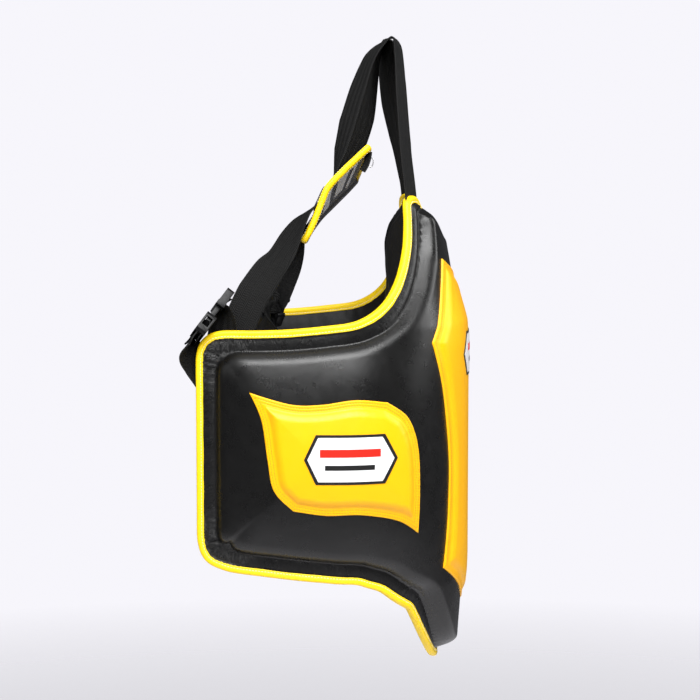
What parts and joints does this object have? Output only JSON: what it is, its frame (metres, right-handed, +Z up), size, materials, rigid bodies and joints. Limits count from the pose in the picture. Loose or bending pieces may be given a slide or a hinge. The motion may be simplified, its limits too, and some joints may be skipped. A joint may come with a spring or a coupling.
{
  "type": "chest protector",
  "caption": "Padded leather body shield for a martial-arts coach: bowed front with a groin tongue, two wrap-round wings, and a webbing harness with a back yoke and side-release buckles.",
  "frame": {"origin": "the point the harness hangs from, at the top of the shoulder straps, midway between them", "axes": "+Z up, the front faces -Y, +X is the wearer's left"},
  "size_m": [0.3976, 0.3571, 0.7714],
  "materials": {
    "black_leather": "semi-gloss grained",
    "black_lining": "matt coated nylon",
    "foam": "closed-cell foam, hidden",
    "yellow_leather": "semi-gloss",
    "yellow_binding": "semi-gloss folded tape",
    "badge": "printed, smooth",
    "black_webbing": "woven polypropylene",
    "grey_vinyl": "glossy printed vinyl",
    "black_plastic": "moulded acetal"
  },
  "bodies": {
    "front": {"front_cover": "black_leather", "front_foam": "foam", "front_lining": "black_lining", "front_top_binding": "yellow_binding", "tongue_binding": "yellow_binding", "front_patch": "yellow_leather", "front_patch_foam": "foam", "front_badge": "badge", "shoulder_strap_right": "black_webbing", "shoulder_strap_left": "black_webbing", "yoke_patch": "black_leather", "yoke_panel": "grey_vinyl", "yoke_binding": "yellow_binding", "lower_strap_right": "black_webbing", "lower_strap_left": "black_webbing"},
    "wing_right": {"wing_cover_right": "black_leather", "wing_foam_right": "foam", "wing_lining_right": "black_lining", "wing_binding_right": "yellow_binding", "side_patch_right": "yellow_leather", "side_patch_foam_right": "foam", "side_badge_right": "badge", "anchor_tape_right": "black_webbing", "buckle_socket_right": "black_plastic"},
    "plug_right": {"buckle_plug_right": "black_plastic"},
    "latch_upper_right": {"latch_arm_upper_right": "black_plastic"},
    "latch_lower_right": {"latch_arm_lower_right": "black_plastic"},
    "wing_left": {"wing_cover_left": "black_leather", "wing_foam_left": "foam", "wing_lining_left": "black_lining", "wing_binding_left": "yellow_binding", "side_patch_left": "yellow_leather", "side_patch_foam_left": "foam", "side_badge_left": "badge", "anchor_tape_left": "black_webbing", "buckle_socket_left": "black_plastic"},
    "plug_left": {"buckle_plug_left": "black_plastic"},
    "latch_upper_left": {"latch_arm_upper_left": "black_plastic"},
    "latch_lower_left": {"latch_arm_lower_left": "black_plastic"}
  },
  "joints": [
    {"name": "wing_right_flex", "type": "hinge", "parent": "front", "child": "wing_right", "pos_m": [-0.1406, -0.0343, -0.48], "axis": [0, 0, 1], "range_deg": [-5, 20], "stiffness_Nm_per_rad": 1.5, "deforming": ["lower_strap_right"]},
    {"name": "plug_right_slide", "type": "slide", "parent": "wing_right", "child": "plug_right", "axis": [0.3496, -0.5693, 0.7441], "range_m": [0, 0.03], "deforming": ["lower_strap_right", "latch_arm_upper_right", "latch_arm_lower_right"]},
    {"name": "latch_upper_right_press", "type": "hinge", "parent": "plug_right", "child": "latch_upper_right", "pos_m": [-0.13064, 0.21528, -0.32914], "axis": [0, 0.7942, 0.6076], "range_deg": [0, 7], "stiffness_Nm_per_rad": 0.9},
    {"name": "latch_lower_right_press", "type": "hinge", "parent": "plug_right", "child": "latch_lower_right", "pos_m": [-0.16062, 0.20848, -0.32026], "axis": [0, -0.7942, -0.6076], "range_deg": [0, 7], "stiffness_Nm_per_rad": 0.9},
    {"name": "wing_left_flex", "type": "hinge", "parent": "front", "child": "wing_left", "pos_m": [0.1406, -0.0343, -0.48], "axis": [0, 0, -1], "range_deg": [-5, 20], "stiffness_Nm_per_rad": 1.5, "deforming": ["lower_strap_left"]},
    {"name": "plug_left_slide", "type": "slide", "parent": "wing_left", "child": "plug_left", "axis": [-0.6873, -0.3088, 0.6574], "range_m": [0, 0.03], "deforming": ["lower_strap_left", "latch_arm_upper_left", "latch_arm_lower_left"]},
    {"name": "latch_upper_left_press", "type": "hinge", "parent": "plug_left", "child": "latch_upper_left", "pos_m": [0.09284, 0.1528, -0.35772], "axis": [0.4907, -0.8648, 0.1068], "range_deg": [0, 7], "stiffness_Nm_per_rad": 0.9},
    {"name": "latch_lower_left_press", "type": "hinge", "parent": "plug_left", "child": "latch_lower_left", "pos_m": [0.10998, 0.16548, -0.33385], "axis": [-0.4907, 0.8648, -0.1068], "range_deg": [0, 7], "stiffness_Nm_per_rad": 0.9}
  ]
}
